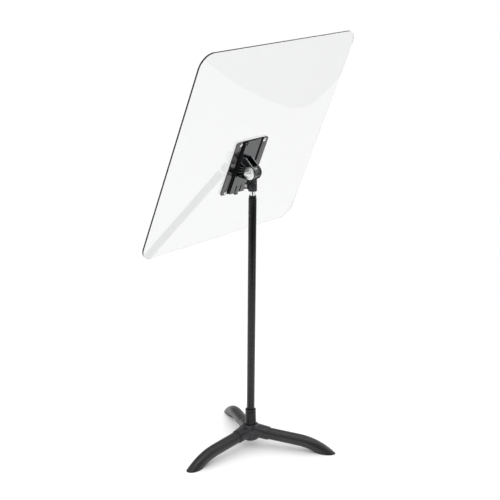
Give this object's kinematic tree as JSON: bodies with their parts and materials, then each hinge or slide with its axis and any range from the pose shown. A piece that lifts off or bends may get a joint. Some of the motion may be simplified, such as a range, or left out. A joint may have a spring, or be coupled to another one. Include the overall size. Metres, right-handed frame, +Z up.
{
  "type": "clear panel stand",
  "caption": "Clear square panel with rounded corners on a black telescoping floor stand with a friction tilt head and a curved-leg base.",
  "frame": {"origin": "on the mast axis at floor level", "axes": "+Z up along the mast; the tilt axis is parallel to X; the panel's plain side faces -Y and its mounting plate faces +Y"},
  "size_m": [0.61, 0.4307, 1.161],
  "materials": {
    "base_casting": "black powder coat, satin",
    "collar_plastic": "moulded, satin",
    "collar_ring_plastic": "moulded, satin",
    "leg_paint": "black powder coat, fine texture",
    "foot_rubber": "matt black",
    "tube_paint": "black powder coat, satin",
    "zinc_hardware": "zinc plated",
    "clutch_nylon": "natural nylon",
    "shaft_chrome": "polished",
    "post_plastic": "glass-filled nylon, satin",
    "bright_hardware": "bright zinc plated",
    "head_plastic": "moulded, glossy black",
    "plate_plastic": "moulded, glossy black",
    "disc_fibre": "pressed fibre",
    "clear_sheet": "clear acrylic sheet, polished",
    "gasket_rubber": "closed-cell foam, black"
  },
  "bodies": {
    "base": {"hub": "base_casting", "hub_collar": "collar_plastic", "collar_ring": "collar_ring_plastic", "leg_right": "leg_paint", "leg_rear_left": "leg_paint", "leg_front_left": "leg_paint", "foot_right": "foot_rubber", "foot_rear_left": "foot_rubber", "foot_front_left": "foot_rubber", "leg_screws": "zinc_hardware", "outer_tube": "tube_paint", "tube_anchor": "zinc_hardware", "base_bolt": "zinc_hardware", "base_washer": "zinc_hardware", "tube_bushing": "collar_plastic"},
    "clutch": {"clutch_sleeve": "clutch_nylon", "clutch_band": "zinc_hardware"},
    "shaft": {"inner_shaft": "shaft_chrome", "shaft_plug": "zinc_hardware", "shaft_ring": "zinc_hardware", "plug_screw": "zinc_hardware", "tilt_post": "post_plastic", "pinch_bolt": "bright_hardware", "pinch_nut": "zinc_hardware"},
    "head": {"tilt_bracket": "head_plastic", "mount_plate": "plate_plastic", "pivot_bolt": "bright_hardware", "pivot_nut": "bright_hardware", "cup_washer": "bright_hardware", "spring_washer": "bright_hardware", "bolt_washer": "bright_hardware", "friction_discs": "disc_fibre", "panel": "clear_sheet", "panel_gasket": "gasket_rubber", "panel_screws": "bright_hardware", "barrel_nuts": "bright_hardware"}
  },
  "joints": [
    {"name": "height_slide", "type": "slide", "parent": "base", "child": "clutch", "axis": [0, 0, 1], "range_m": [-0.01, 0.43]},
    {"name": "mast_swivel", "type": "hinge", "parent": "clutch", "child": "shaft", "pos_m": [0, 0, 0.5], "axis": [0, 0, 1], "continuous": true},
    {"name": "panel_tilt", "type": "hinge", "parent": "shaft", "child": "head", "pos_m": [0, 0, 0.8], "axis": [-1, 0, 0], "range_deg": [-27, 26]}
  ]
}
